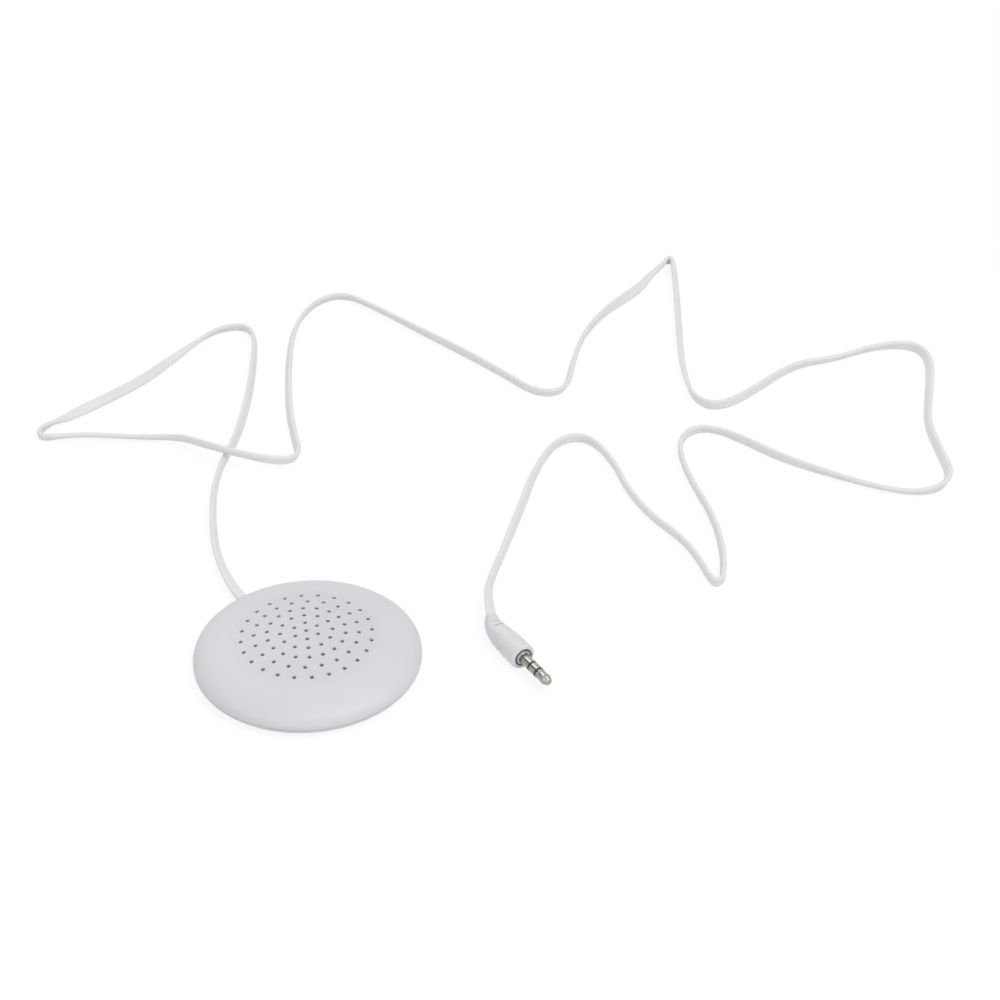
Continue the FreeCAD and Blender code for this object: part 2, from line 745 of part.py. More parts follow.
def solder_joints():
    """Two tapered joints under the board, each round the end of its core."""
    joints = []
    turn = FreeCAD.Rotation(UP, exit_azimuth)
    for side in (-1, 1):
        foot = turn.multVec(V(solder_distance, side * solder_spacing / 2, board_bottom))
        joint = Part.makeCone(solder_radius, solder_tip_radius, solder_height, foot, UP * -1)
        joints.append(joint.cut(lead(side)))
    return Part.makeCompound(joints)


def cord_route():
    """All points of the cord, from its stripped end to the plug's neck."""
    head = [polar(r, exit_azimuth, cord_height) for r in (cord_inner_end, cord_first_bend)]
    neck_end, neck_heading = neck_point(neck_length)
    last = place_plug_point(neck_end)
    heading = plug_turn().multVec(neck_heading)
    tail = [neck_approach, last + heading * last_run, last]
    return head + route_on_floor + tail


def cord():
    tube, length, bends = tube_along(cord_route(), cord_radius)
    section = math.pi * cord_radius ** 2
    print("cord length", round(length, 1), "tightest bend", round(min(bends), 2))
    print("cord bends", [round(b, 1) for b in bends])
    print("cord volume", round(tube.Volume, 1), "section x length", round(section * length, 1))
    return tube


def plug_turn():
    return FreeCAD.Rotation(UP, plug_azimuth)


def place_plug_point(point):
    """Plug coordinates (face at x = 0, tip towards +X) to the part's own."""
    return plug_turn().multVec(point) + plug_face + UP * plug_radius


def place_plug(shape):
    placed = shape.copy()
    placed.Placement = FreeCAD.Placement(plug_face + UP * plug_radius, plug_turn())
    return placed


def xr(x, radius):
    """A point of a profile that turns about the plug's axis."""
    return V(x, 0, radius)


def turned(edges):
    return revolve(edges, V(1, 0, 0))


def neck_point(distance):
    """Centre and backward direction of the bent neck at a distance along it."""
    bend_radius = neck_length / math.radians(neck_bend)
    angle = distance / bend_radius
    x = -plug_body_length - bend_radius * math.sin(angle)
    y = bend_radius * (1 - math.cos(angle))
    return V(x, y, 0), V(-math.cos(angle), math.sin(angle), 0)


def neck():
    """Tapered neck of the overmould, bent towards the cord."""
    sections = []
    for step in range(neck_steps + 1):
        share = step / neck_steps
        centre, heading = neck_point(neck_length * share)
        radius = plug_shoulder_radius + (neck_end_radius - plug_shoulder_radius) * share
        radius += neck_bulge * math.sin(math.pi * share)
        sections.append(Part.Wire(Part.Circle(centre, heading, radius).toShape()))
    return Part.makeLoft(sections, True, False)


def neck_slot(distance, side):
    """Cutter for one flexing slot across the neck, above or below."""
    centre, heading = neck_point(distance)
    wide = 2 * plug_shoulder_radius
    box = Part.makeBox(
        slot_width, wide, plug_shoulder_radius,
        V(-slot_width / 2, -wide / 2, slot_core_radius))
    if side < 0:
        box.rotate(V(0, 0, 0), V(1, 0, 0), 180)
    box.rotate(V(0, 0, 0), UP, math.degrees(math.atan2(heading.y, heading.x)))
    box.translate(centre)
    return box


def plug_body():
    """Soft overmould: parallel grip, rounded face, taper and slotted neck."""
    edge = plug_edge_radius
    soft = edge * (1 - math.sqrt(0.5))
    grip_end = xr(-plug_parallel_length, plug_radius)
    back = xr(-plug_body_length, plug_shoulder_radius)
    reach = (grip_end.x + back.x) / 2
    edges = [arc(xr(0, plug_radius - edge), xr(-soft, plug_radius - soft), xr(-edge, plug_radius))]
    edges.append(line(xr(-edge, plug_radius), grip_end))
    edges.append(bezier([grip_end, xr(reach, plug_radius), back]))
    inner = [back, xr(-plug_body_length, 0), xr(-mould_length, 0)]
    inner += [xr(-mould_length, mould_radius), xr(-socket_depth, mould_radius)]
    inner += [xr(-socket_depth, socket_radius), xr(0, socket_radius)]
    inner += [xr(0, plug_radius - edge)]
    body = turned(edges + polyline(inner)).fuse(neck())
    slots = [neck_slot(d, s) for d in slot_places for s in (-1, 1)]
    return body.cut(Part.makeCompound(slots))


def jack_x(from_tip):
    """Place along the plug's axis of a distance measured back from the tip."""
    return collar_proud + jack_reach - from_tip


tip_back = tip_length
ring_front = tip_back + insulator_length
ring_back = ring_front + ring_length
sleeve_front = ring_back + insulator_length
tip_insulator_radius = tip_rod_radius + insulator_wall
ring_tube_radius = tip_insulator_radius + ring_tube_wall
ring_insulator_radius = ring_tube_radius + insulator_wall


def stepped_tube(bore, head_from, head_to, tail_radius, tail_to, hollow=0.0):
    """A head on the plug's surface and a thinner tube that runs back inside."""
    front = xr(head_to, jack_radius)
    back = xr(head_from, jack_radius)
    middle = xr((head_from + head_to) / 2, jack_radius - hollow)
    edges = [arc(front, middle, back) if hollow else line(front, back)]
    edges += polyline([
        back, xr(head_from, tail_radius), xr(tail_to, tail_radius), xr(tail_to, bore),
        xr(head_to, bore), front])
    return turned(edges)


def plug_tip():
    """Rounded nose, waist and flare, with the centre rod that runs back."""
    share = math.sqrt(0.5)
    nose_mid = xr(jack_x(nose_length * (1 - share)), nose_radius * share)
    nose_end = xr(jack_x(nose_length), nose_radius)
    crest_x = (nose_length + crest_length) / 2
    crest = xr(jack_x(crest_length), jack_radius)
    edges = [arc(xr(jack_x(0), 0), nose_mid, nose_end)]
    edges.append(bezier([nose_end, xr(jack_x(crest_x), jack_radius), crest]))
    edges.append(bezier([
        crest, xr(jack_x(waist_length), waist_radius), xr(jack_x(flare_length), flare_radius)]))
    edges += polyline([
        xr(jack_x(flare_length), flare_radius), xr(jack_x(tip_back), flare_radius),
        xr(jack_x(tip_back), tip_rod_radius), xr(-tip_tail, tip_rod_radius),
        xr(-tip_tail, 0), xr(jack_x(0), 0)])
    return turned(edges)


def plug_tip_insulator():
    return stepped_tube(
        tip_rod_radius, jack_x(ring_front), jack_x(tip_back),
        tip_insulator_radius, tube_step - tip_tail, insulator_hollow)


def plug_ring():
    return stepped_tube(
        tip_insulator_radius, jack_x(ring_back), jack_x(ring_front),
        ring_tube_radius, -ring_tail)


def plug_ring_insulator():
    return stepped_tube(
        ring_tube_radius, jack_x(sleeve_front), jack_x(ring_back),
        ring_insulator_radius, tube_step - ring_tail, insulator_hollow)


def plug_sleeve():
    """Sleeve contact with the collar that seats in the overmould."""
    bore = ring_insulator_radius
    points = [
        xr(jack_x(sleeve_front), bore), xr(jack_x(sleeve_front), jack_radius),
        xr(collar_proud, jack_radius), xr(collar_proud, collar_nose_radius),
        xr(0, collar_radius), xr(-socket_depth, collar_radius),
        xr(-socket_depth, crimp_radius), xr(-sleeve_tail, crimp_radius),
        xr(-sleeve_tail, bore), xr(jack_x(sleeve_front), bore),
    ]
    return turned(polyline(points))


def plug_inner_mould(metal):
    """Hard moulding that holds the contacts inside the soft body."""
    length = mould_length - socket_depth
    block = Part.makeCylinder(mould_radius, length, V(-mould_length, 0, 0), V(1, 0, 0))
    return block.cut(Part.makeCompound(metal))


def build():
    nodes = {
        "front_cover": front_cover(),
        "rear_cover": rear_cover(),
        "cover_screws": cover_screws(),
        "grille_cloth": grille_cloth(),
        "driver_gasket": driver_gasket(),
        "driver_frame": driver_frame(),
        "driver_diaphragm": driver_diaphragm(),
        "voice_coil_former": voice_coil_former(),
        "voice_coil": voice_coil(),
        "driver_top_plate": ring(0, top_plate_radius, magnet_top, top_plate_top),
        "driver_magnet": ring(0, magnet_radius, magnet_bottom, magnet_top),
        "driver_yoke": driver_yoke(),
        "vent_cloth": vent_cloth(),
        "terminal_board": terminal_board(),
        "solder_joints": solder_joints(),
        "driver_screws": driver_screws(),
        "cord_clamp": cord_clamp(),
        "clamp_screws": clamp_screws(),
        "lead_signal": lead(-1),
        "lead_return": lead(1),
    }
    nodes["cord"] = cord()
    contacts = {
        "plug_sleeve": plug_sleeve(),
        "plug_ring": plug_ring(),
        "plug_tip": plug_tip(),
        "plug_tip_insulator": plug_tip_insulator(),
        "plug_ring_insulator": plug_ring_insulator(),
    }
    mould = plug_inner_mould(list(contacts.values()))
    for name, shape in {**contacts, "plug_inner_mould": mould, "plug_body": plug_body()}.items():
        nodes[name] = place_plug(shape)
    return nodes


os.makedirs("parts", exist_ok=True)
for node_name, node_shape in build().items():
    count = len(node_shape.Solids)
    print(node_name, "solids", count, "valid", node_shape.isValid(), "volume", round(node_shape.Volume, 1))
    node_shape.exportStep("parts/" + node_name + ".step")
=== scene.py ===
# %% [markdown]
# A pillow speaker on a white table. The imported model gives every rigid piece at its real
# size. This file gives them their finishes, lays the flat flex along its path, and sets up
# the camera and the light of a product picture.

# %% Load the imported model
import bpy
import json
import math
from mathutils import Matrix, Vector


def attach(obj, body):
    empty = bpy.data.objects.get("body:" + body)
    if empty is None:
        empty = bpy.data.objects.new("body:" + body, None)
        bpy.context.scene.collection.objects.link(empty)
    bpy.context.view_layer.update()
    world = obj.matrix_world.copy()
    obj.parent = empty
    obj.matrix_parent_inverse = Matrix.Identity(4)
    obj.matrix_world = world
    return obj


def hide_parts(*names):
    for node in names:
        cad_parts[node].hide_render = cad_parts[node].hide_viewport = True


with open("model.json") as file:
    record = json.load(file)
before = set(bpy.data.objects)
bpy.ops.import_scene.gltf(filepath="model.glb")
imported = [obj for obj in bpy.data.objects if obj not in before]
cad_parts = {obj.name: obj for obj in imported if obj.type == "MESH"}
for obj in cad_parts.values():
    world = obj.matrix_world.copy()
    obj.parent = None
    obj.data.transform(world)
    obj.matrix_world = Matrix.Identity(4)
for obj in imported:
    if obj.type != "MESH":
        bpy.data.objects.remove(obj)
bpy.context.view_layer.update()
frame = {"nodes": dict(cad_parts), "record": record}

MM = 0.001
nodes = frame["nodes"]

# %% [markdown]
# The camera stands where the picture was taken from: half a metre in front of the speaker
# and well above it. Its place was worked out from the holes of the grille, which lie on
# circles of known size, so their ellipses give the tilt, the distance and the focal length
# together. A camera that is set by eye never gets all three right at once.

# %% Camera
FOCAL_LENGTH_PX = 2400.0
PICTURE_SIDE_PX = 1000.0
SENSOR_MM = 36.0
EYE = Vector((0.05928, -0.57119, 0.4671))
LOOK_DOWN = math.radians(35.423)
ROLL = math.radians(-0.6)

camera_data = bpy.data.cameras.new("camera")
camera_data.sensor_width = SENSOR_MM
camera_data.lens = FOCAL_LENGTH_PX / PICTURE_SIDE_PX * SENSOR_MM
camera = bpy.data.objects.new("camera", camera_data)
bpy.context.scene.collection.objects.link(camera)
turn = Matrix.Rotation(math.pi / 2 - LOOK_DOWN, 4, "X") @ Matrix.Rotation(ROLL, 4, "Z")
camera.matrix_world = Matrix.Translation(EYE) @ turn
bpy.context.scene.camera = camera
bpy.context.scene.view_settings.view_transform = "Standard"
print("lens", round(camera_data.lens, 1), "mm")

# %% [markdown]
# Shader and geometry trees are sums of many small nodes. One class wraps a node's output, so
# that arithmetic on it adds the Math nodes by itself, and one method makes any other node.
# The alternative, a call for each node and each link, hides what the maths says.


# %% A socket that takes part in arithmetic
class Signal:
    """An output of a node tree. Operators on it add Math nodes to its tree."""

    def __init__(self, socket):
        self.socket = socket
        self.tree = socket.id_data

    @staticmethod
    def node(tree, kind, sockets=(), output=0, **settings):
        """A new node: its settings first, then the values or links of its sockets."""
        made = tree.nodes.new(kind)
        for name, value in settings.items():
            setattr(made, name, value)
        for key, value in dict(sockets).items():
            if isinstance(value, Signal):
                tree.links.new(made.inputs[key], value.socket)
            else:
                made.inputs[key].default_value = value
        return Signal(made.outputs[output])

    def out(self, name):
        """Another output of the same node."""
        return Signal(self.socket.node.outputs[name])

    def maths(self, operation, *others):
        values = enumerate((self,) + others)
        return Signal.node(self.tree, "ShaderNodeMath", values, operation=operation)

    def __add__(self, other):
        return self.maths("ADD", other)

    def __radd__(self, other):
        return self.maths("ADD", other)

    def __sub__(self, other):
        return self.maths("SUBTRACT", other)

    def __rsub__(self, other):
        return (self * -1).maths("ADD", other)

    def __mul__(self, other):
        return self.maths("MULTIPLY", other)

    def __rmul__(self, other):
        return self.maths("MULTIPLY", other)

    def __truediv__(self, other):
        return self.maths("DIVIDE", other)

    def __abs__(self):
        return self.maths("ABSOLUTE")

    def root(self):
        return self.maths("SQRT")

    def step(self, low, high):
        """0 below low, 1 above high, and smooth between them."""
        sockets = {"Value": self, "From Min": low, "From Max": high}
        return Signal.node(self.tree, "ShaderNodeMapRange", sockets, interpolation_type="SMOOTHSTEP")


# %% [markdown]
# The flex is a flat twin cable, two round cores side by side in one white sheath, 3.8 mm
# wide and 1.66 mm thick. Its route is a list of points along the curves that it lies in, and
# a smooth spline runs near them. The list began as the imported model's own. A measuring
# script then printed for each point how far and which way the spline missed the picture, and
# most points were moved by about what it printed. Some points also say how far the flex is
# twisted there: 0 lies flat on the table and 90 stands on edge.

# %% Route of the flex
HALF_WIDTH = 1.9 * MM
HALF_THICKNESS = 0.83 * MM
EXIT_AZIMUTH = math.radians(128.0)
EXIT_HEIGHT = 3.2 * MM
LIES = 1.25                  # height of the route on the table, mm
FOOT = 2.6                   # where it begins to rise to cross itself
TOP = 5.2                    # where it lies on its own first stretch
STRIPPED_END_MM = 25.0       # from the middle of the housing to where the sheath ends
OUTSIDE_MM = 36.8            # from there to just outside the housing

ROUTE_MM = [
    (-27.9, 40.1, 2.0), (-33.0, 54.8, LIES), (-35.5, 69.4, LIES),
    (-37.2, 88.5, LIES), (-36.0, 106.0, LIES),
    (-31.8, 122.5, LIES), (-29.8, 150.0, LIES), (-29.9, 171.6, LIES), (-30.8, 189.2, LIES),
    (-35.0, 196.6, LIES), (-43.8, 195.4, LIES), (-50.2, 189.2, LIES), (-59.8, 176.4, LIES),
    (-69.0, 159.8, LIES), (-86.0, 142.8, LIES), (-95.2, 136.0, LIES), (-100.8, 129.4, LIES),
    (-101.3, 124.4, LIES), (-98.2, 123.4, LIES), (-92.0, 125.2, LIES), (-82.0, 125.4, LIES),
    (-64.8, 123.4, LIES), (-51.0, 120.8, FOOT), (-41.6, 112.0, TOP), (-27.6, 105.4, TOP),
    (-18.2, 105.9, FOOT), (-12.0, 107.9, LIES), (-9.8, 112.2, LIES), (-11.8, 121.2, LIES),
    (-15.2, 139.8, LIES), (-17.2, 169.0, LIES), (-17.1, 192.5, LIES), (-12.6, 209.0, LIES),
    (-5.2, 217.6, LIES), (2.6, 218.2, LIES), (12.6, 209.8, LIES), (28.9, 193.6, LIES),
    (46.3, 176.9, LIES), (61.1, 161.6, LIES), (70.9, 150.0, LIES), (79.4, 148.2, LIES),
    (84.0, 153.9, LIES), (85.6, 165.0, LIES), (90.4, 187.6, LIES), (99.3, 204.6, LIES),
    (111.1, 218.9, LIES), (117.2, 230.8, LIES), (122.8, 239.0, LIES), (124.6, 242.4, LIES),
    (126.6, 243.0, LIES), (127.4, 240.6, LIES), (127.4, 236.8, LIES), (127.4, 229.0, LIES),
    (127.1, 210.0, LIES), (125.7, 171.4, LIES), (126.9, 154.8, LIES), (128.6, 144.4, LIES),
    (134.0, 138.8, LIES), (141.5, 141.0, LIES), (150.0, 148.8, LIES), (166.7, 166.0, LIES),
    (180.8, 169.4, LIES), (195.9, 177.2, LIES), (206.8, 179.0, LIES), (214.0, 175.8, LIES),
    (216.0, 165.2, LIES), (211.8, 143.2, LIES), (208.7, 126.5, LIES), (210.5, 108.7, LIES),
    (212.3, 94.9, LIES), (206.6, 86.4, LIES), (196.6, 84.9, LIES), (179.9, 91.7, LIES),
    (157.1, 104.9, LIES), (142.8, 118.4, LIES), (133.6, 124.9, LIES), (126.7, 124.2, LIES),
    (122.2, 118.4, LIES), (121.1, 108.7, LIES), (124.2, 91.4, LIES), (128.7, 76.4, LIES),
    (130.9, 62.2, LIES), (131.3, 49.4, LIES), (130.6, 42.0, LIES), (130.0, 37.4, LIES),
    (127.4, 36.2, LIES), (125.4, 40.8, LIES), (123.2, 49.4, LIES), (118.4, 60.6, LIES),
    (108.8, 73.4, LIES), (102.1, 88.6, LIES), (98.6, 103.2, LIES), (93.8, 114.4, LIES),
    (88.8, 120.0, LIES), (81.8, 119.4, LIES), (76.1, 112.5, LIES), (70.6, 97.2, LIES),
    (67.3, 82.9, LIES), (60.8, 56.8, LIES), (56.0, 39.2, LIES), (55.2, 30.5, 2.8),
    (55.87, 20.78, 4.15), (56.27, 16.3, 4.15),
]

# Twist in degrees at some of the points, counted from the stripped end inside the housing.
# About half of the angles are ones that a measuring script worked out from the flex's width
# in the picture.
TWIST_AT = [
    (0, 0), (1, 8), (2, 30), (3, 54), (5, 80), (6, 98), (7, 72), (8, 66), (9, 74),
    (10, 86), (11, 65), (12, 62),
    (13, 47), (15, -48), (16, -50), (16.6, -25), (17.3, 37), (18.5, 90), (21, 146), (23, 143),
    (24, 115), (25, 110), (26, 118), (27, 98), (28, 114), (31, 118), (33, 117), (34, 113),
    (37, 126), (39, 99), (39.6, 92), (40.3, 118), (41, 105), (43, 122),
    (44, 114), (45.5, 100), (46.2, 88),
    (47, 40), (48, -28), (49, -40), (51, -88), (53, -66), (56.5, -61), (58, -78), (60.5, -98),
    (62, -80), (62.8, -48), (63.6, -52), (64.6, -72), (66, -98), (67, -136), (68, -128),
    (69.5, -105), (70.8, -136), (72, -97), (73, -140), (74, -136), (74.8, -98), (76, -96),
    (76.6, -140), (77.5, -100), (81.5, -80), (82.4, -95), (84.5, -108), (87.3, -92), (89.6, -99),
    (90.5, -114), (91.2, -97), (95, -98), (97, -95), (99, -66), (99.8, -75), (100.6, -92),
    (102.5, -45), (104, -30),
]


def polar(radius_mm, height):
    """A point on the line along which the flex leaves the housing."""
    radius = radius_mm * MM
    return Vector((radius * math.cos(EXIT_AZIMUTH), radius * math.sin(EXIT_AZIMUTH), height))


def twist_at(index):
    """Twist at a point of the route, in radians, read between the stated ones."""
    for (low, a), (high, b) in zip(TWIST_AT, TWIST_AT[1:]):
        if index <= high:
            return math.radians(a + (b - a) * (index - low) / (high - low))
    return math.radians(TWIST_AT[-1][1])


route = [polar(STRIPPED_END_MM, EXIT_HEIGHT), polar(OUTSIDE_MM, EXIT_HEIGHT)]
route += [Vector(point) * MM for point in ROUTE_MM]
print("route of", len(route), "points")

# %% [markdown]
# A NURBS spline with these points as its control points turns the corners smoothly, as a
# flex does, and stays as low as the points are. The order is set after the points, because
# a spline that is too short for its order falls back to straight runs.

# %% Spline along the route
route_curve = bpy.data.curves.new("flex_route", "CURVE")
route_curve.dimensions = "3D"
route_curve.twist_mode = "Z_UP"
spline = route_curve.splines.new("NURBS")
spline.points.add(len(route) - 1)
for index, (point, place) in enumerate(zip(spline.points, route)):
    point.co = (*place, 1.0)
    point.tilt = twist_at(index)
spline.order_u = 3
spline.use_endpoint_u = True
spline.resolution_u = 10
route_object = bpy.data.objects.new("flex_route", route_curve)
bpy.context.scene.collection.objects.link(route_object)
print("spline with", len(spline.points), "points")


def baked(source):
    """The evaluated shape of an object as a plain mesh."""
    depsgraph = bpy.context.evaluated_depsgraph_get()
    return bpy.data.meshes.new_from_object(source.evaluated_get(depsgraph), depsgraph=depsgraph)


line = baked(route_object)
centreline = [vertex.co.copy() for vertex in line.vertices]
length = sum((b - a).length for a, b in zip(centreline, centreline[1:]))
print("flex centreline", len(centreline), "points,", round(length / MM, 1), "mm")

# %% [markdown]
# Geometry Nodes sweep the section along the spline. The section is one formula: two circles
# that touch are r = |cos a| about the point between them, and more under the root fills the
# middle up to a shallow groove, as the sheath does between the cores. A twisted flex stands
# higher on the table than a flat one, so each station is lifted by what its own twist needs.

# %% Sweep of the flat flex
WEB_SHARE = 0.62             # how far the middle is filled: 0 is two bare circles, 1 an oval
SECTION_POINTS = 40
SETTLES_OVER = 30.0 * MM


def group_with(name, sizes):
    """A geometry tree with a mesh or curve input, named sizes and one output."""
    tree = bpy.data.node_groups.new(name, "GeometryNodeTree")
    tree.interface.new_socket("Geometry", in_out="INPUT", socket_type="NodeSocketGeometry")
    for size in sizes:
        tree.interface.new_socket(size, in_out="INPUT", socket_type="NodeSocketFloat")
    tree.interface.new_socket("Material", in_out="INPUT", socket_type="NodeSocketMaterial")
    tree.interface.new_socket("Geometry", in_out="OUTPUT", socket_type="NodeSocketGeometry")
    return tree, Signal.node(tree, "NodeGroupInput")


def close_group(tree, geometry, material):
    """Ends a tree in real, smooth geometry with its material."""
    smooth = Signal.node(tree, "GeometryNodeSetShadeSmooth", {"Geometry": geometry})
    real = Signal.node(tree, "GeometryNodeRealizeInstances", {"Geometry": smooth})
    painted = Signal.node(tree, "GeometryNodeSetMaterial", {"Geometry": real, "Material": material})
    out = tree.nodes.new("NodeGroupOutput")
    tree.links.new(out.inputs["Geometry"], painted.socket)


def run_group(carrier, tree, values, name):
    """Runs a tree on an object with its inputs set, and keeps the result as a plain mesh."""
    modifier = carrier.modifiers.new(name, "NODES")
    modifier.node_group = tree
    for item in tree.interface.items_tree:
        if item.in_out == "INPUT" and item.name in values:
            modifier[item.identifier] = values[item.name]
    mesh = baked(carrier)
    carrier.modifiers.remove(modifier)
    mesh.name = name
    piece = bpy.data.objects.new(name, mesh)
    bpy.context.scene.collection.objects.link(piece)
    print(name, "has", len(mesh.polygons), "faces")
    return piece


def flex_tree():
    """Sweeps the two-core section along a curve, resting on the table at every twist."""
    sizes = ["Half Width", "Half Thickness", "Web", "Route Height", "Settles Over"]
    tree, given = group_with("flat_flex", sizes)
    wide, thick, web = given.out("Half Width"), given.out("Half Thickness"), given.out("Web")
    even = Signal.node(
        tree, "GeometryNodeResampleCurve", {"Curve": given.out("Geometry")}, mode="EVALUATED")
    tilt = Signal.node(tree, "GeometryNodeInputCurveTilt")
    along = Signal.node(tree, "GeometryNodeSplineParameter", output="Length")
    whole = Signal.node(tree, "GeometryNodeCurveLength", {"Curve": even})
    settles = given.out("Settles Over")
    free = along.step(0.0, settles) * (whole - along).step(0.0, settles)
    stands = thick + (wide - thick) * abs(tilt.maths("SINE"))
    rise = (stands - given.out("Route Height")) * free
    offset = Signal.node(tree, "ShaderNodeCombineXYZ", {"Z": rise})
    lifted = Signal.node(tree, "GeometryNodeSetPosition", {"Geometry": even, "Offset": offset})
    marked = Signal.node(
        tree, "GeometryNodeStoreNamedAttribute", {"Geometry": lifted, "Name": "along", "Value": along})

    circle = Signal.node(
        tree, "GeometryNodeCurvePrimitiveCircle", {"Resolution": SECTION_POINTS, "Radius": 1.0})
    at = Signal.node(tree, "GeometryNodeInputPosition")
    across = Signal.node(tree, "ShaderNodeSeparateXYZ", {"Vector": at})
    radius = (across * across + web * web).root()
    full = web * web + 1.0
    across_share = radius * wide / full.root()
    up_share = radius * thick * 2.0 / full
    stretch = Signal.node(tree, "ShaderNodeCombineXYZ", {"X": across_share, "Y": up_share})
    place = Signal.node(tree, "ShaderNodeVectorMath", {0: at, 1: stretch}, operation="MULTIPLY")
    section = Signal.node(tree, "GeometryNodeSetPosition", {"Geometry": circle, "Position": place})
    around = Signal.node(tree, "GeometryNodeSplineParameter")
    section = Signal.node(
        tree, "GeometryNodeStoreNamedAttribute",
        {"Geometry": section, "Name": "around", "Value": around})
    tube = Signal.node(
        tree, "GeometryNodeCurveToMesh",
        {"Curve": marked, "Profile Curve": section, "Fill Caps": True})
    close_group(tree, tube, given.out("Material"))
    return tree


# %% [markdown]
# Every finish starts from the same few parts: where a point is, how cloudy the colour is,
# and how rough the skin is. The helper below joins them to one shader, so that each finish
# states only what makes it what it is.


# %% A base for all finishes
def new_finish(name):
    """An empty material and its tree."""
    material = bpy.data.materials.new(name)
    material.use_nodes = True
    material.node_tree.nodes.clear()
    return material, material.node_tree


def position(tree):
    """The place on the piece, in metres."""
    return Signal.node(tree, "ShaderNodeTexCoord", output="Object")


def noise(tree, at, scale, detail=3.0):
    """Soft noise from 0 to 1."""
    sockets = {"Vector": at, "Scale": scale, "Detail": detail, "Roughness": 0.55}
    return Signal.node(tree, "ShaderNodeTexNoise", sockets)


def blend(tree, factor, a, b):
    """Colour a where the factor is 0 and colour b where it is 1."""
    mix = tree.nodes.new("ShaderNodeMix")
    mix.data_type = "RGBA"
    colours = [s for s in mix.inputs if s.type == "RGBA"]
    for socket, value in [(mix.inputs[0], factor), (colours[0], a), (colours[1], b)]:
        if isinstance(value, Signal):
            tree.links.new(socket, value.socket)
        else:
            socket.default_value = value
    return Signal([s for s in mix.outputs if s.type == "RGBA"][0])


def bump(tree, height, depth):
    """A normal that is roughened by a height from 0 to 1, of a depth in metres."""
    return Signal.node(tree, "ShaderNodeBump", {"Height": height, "Distance": depth})


def finish(tree, colour, roughness, normal=None, **fixed):
    """The shader: what varies is linked, and what is even is set on the socket itself."""
    sockets = {"Base Color": colour, "Roughness": roughness}
    if normal is not None:
        sockets["Normal"] = normal
    sockets.update({name.replace("_", " "): value for name, value in fixed.items()})
    shader = Signal.node(tree, "ShaderNodeBsdfPrincipled", sockets)
    out = tree.nodes.new("ShaderNodeOutputMaterial")
    tree.links.new(out.inputs["Surface"], shader.socket)


def srgb(red, green, blue):
    """A colour as the eye names it, 0 to 255, in the linear values that the shader takes."""
    linear = []
    for value in (red, green, blue):
        share = value / 255
        linear.append(share / 12.92 if share <= 0.04045 else ((share + 0.055) / 1.055) ** 2.4)
    return (*linear, 1.0)


# %% [markdown]
# The covers are moulded in off-white plastic. Over the driver the dome looks a little cooler
# and darker, because the wall is thin there and the cloth shows through. The skin has a fine
# satin grain from the mould. Painted shade darkens the walls of the grille holes and the rear
# cover below the parting line, and a soft painted shadow runs along the parting line.

# %% Housing plastic
ZONE_INNER = 19.5 * MM
ZONE_OUTER = 25.5 * MM
SEAM_HEIGHT = 3.2 * MM
SEAM_REACH = 0.25 * MM
DOME_RADIUS = 102.5 * MM
DOME_TOP = 13.0 * MM
HOLE_SHADE_FROM = 0.15 * MM
HOLE_SHADE_TO = 1.1 * MM
HOLE_SHADE_SHARE = 0.6
GRILLE_EDGE_INNER = 21.0 * MM
GRILLE_EDGE_OUTER = 21.5 * MM
SEAM_SHADOW_SHARE = 0.35
UNDERSIDE_SHADE_SHARE = 0.6


def housing_finish():
    material, tree = new_finish("satin_white_plastic")
    at = position(tree)
    axes = Signal.node(tree, "ShaderNodeSeparateXYZ", {"Vector": at})
    x, y, z = axes, axes.out("Y"), axes.out("Z")
    radius = (x * x + y * y).root()
    zone = 1 - radius.step(ZONE_INNER, ZONE_OUTER)
    body = blend(tree, noise(tree, at, 60.0), srgb(214, 215, 218), srgb(218, 219, 222))
    thin = blend(tree, noise(tree, at, 160.0), srgb(208, 210, 214), srgb(212, 214, 218))
    colour = blend(tree, zone, body, thin)
    dome = (DOME_RADIUS * DOME_RADIUS - radius * radius).root() + (DOME_TOP - DOME_RADIUS)
    in_grille = 1 - radius.step(GRILLE_EDGE_INNER, GRILLE_EDGE_OUTER)
    # Painted shade: the walls of the grille holes are painted darker the deeper they lie below the dome.
    depth = (dome - z).step(HOLE_SHADE_FROM, HOLE_SHADE_TO) * in_grille
    colour = blend(tree, depth * HOLE_SHADE_SHARE, colour, srgb(96, 99, 106))
    # Painted shadow: a soft dark band is painted along the parting line.
    seam_shadow = 1 - abs(z - SEAM_HEIGHT).step(0.0, SEAM_REACH)
    colour = blend(tree, seam_shadow * SEAM_SHADOW_SHARE, colour, srgb(150, 148, 158))
    # Painted shade: the rear cover below the parting line is painted darker, because it faces down.
    back = 1 - z.step(SEAM_HEIGHT - SEAM_REACH, SEAM_HEIGHT)
    colour = blend(tree, back * UNDERSIDE_SHADE_SHARE, colour, srgb(204, 204, 209))
    grain = noise(tree, at, 3600.0, 2.0)
    roughness = noise(tree, at, 400.0) * 0.12 + 0.40
    finish(tree, colour, roughness, bump(tree, grain, 0.006 * MM))
    return material


# %% [markdown]
# The sheath of the flex is soft and faintly glossy. It came out of a die, so its marks run
# along it and hardly change on their way. They are drawn from the two values that the sweep
# stored on the mesh, the distance along the flex and the place round its section.


# %% Flex sheath
MARKS_ALONG = 40.0           # marks to a metre of flex, so that they are drawn out long
MARKS_AROUND = 24.0          # marks round the section


def read(tree, name):
    """A value that a sweep stored on the mesh."""
    return Signal.node(tree, "ShaderNodeAttribute", output="Fac", attribute_name=name)


